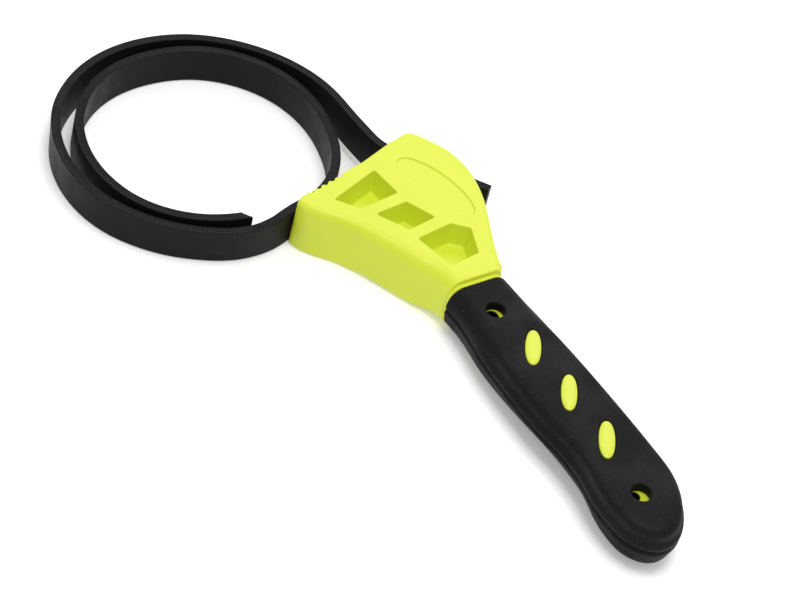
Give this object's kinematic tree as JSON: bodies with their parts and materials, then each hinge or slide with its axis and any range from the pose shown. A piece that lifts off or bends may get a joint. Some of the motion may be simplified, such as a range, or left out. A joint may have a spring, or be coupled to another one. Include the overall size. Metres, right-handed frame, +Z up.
{
  "type": "oil filter wrench",
  "caption": "Strap-type oil filter wrench: lime handle with a toothed, pocketed head, a black soft grip and a black rubber strap lying in a loop of two turns.",
  "frame": {"origin": "the middle of the whole wrench's footprint as it lies flat, on the ground", "axes": "+X runs from the strap's loop along the handle to the end of the grip, +Y points to the side where the strap's stub leaves the head, +Z is up, square to the flat of the handle"},
  "size_m": [0.2978, 0.1466, 0.022],
  "materials": {
    "lime_plastic": "satin moulded plastic with a fine grain",
    "lime_inlay": "satin moulded plastic, slightly paler than the core",
    "grip_rubber": "soft matte rubber with a light sheen",
    "strap_rubber": "moulded rubber with a soft sheen"
  },
  "bodies": {
    "handle": {"handle_core": "lime_plastic", "grip_upper": "grip_rubber", "grip_lower": "grip_rubber", "inlay_upper_1": "lime_inlay", "inlay_upper_2": "lime_inlay", "inlay_upper_3": "lime_inlay", "inlay_lower_1": "lime_inlay", "inlay_lower_2": "lime_inlay", "inlay_lower_3": "lime_inlay", "strap_anchor": "strap_rubber"},
    "strap_run": {"strap_top_run": "strap_rubber"},
    "strap_turns": {"strap_outer_turn": "strap_rubber", "strap_inner_turn": "strap_rubber"},
    "strap_lower": {"strap_inner_lower": "strap_rubber"},
    "strap_end": {"strap_tail": "strap_rubber"}
  },
  "joints": [
    {"name": "bend_at_head", "type": "hinge", "parent": "handle", "child": "strap_run", "pos_m": [-0.05841, 0.04459, 0.011], "axis": [0, 0, 1], "range_deg": [-45, 0]},
    {"name": "bend_outer", "type": "hinge", "parent": "strap_run", "child": "strap_turns", "pos_m": [-0.13978, 0.01323, 0.0075], "axis": [0, 0, 1], "range_deg": [-60, 0]},
    {"name": "bend_inner", "type": "hinge", "parent": "strap_turns", "child": "strap_lower", "pos_m": [-0.12532, -0.04875, 0.0075], "axis": [0, 0, 1], "range_deg": [0, 30]},
    {"name": "bend_tail", "type": "hinge", "parent": "strap_lower", "child": "strap_end", "pos_m": [-0.07859, -0.06132, 0.0075], "axis": [0, 0, 1], "range_deg": [0, 50]}
  ]
}
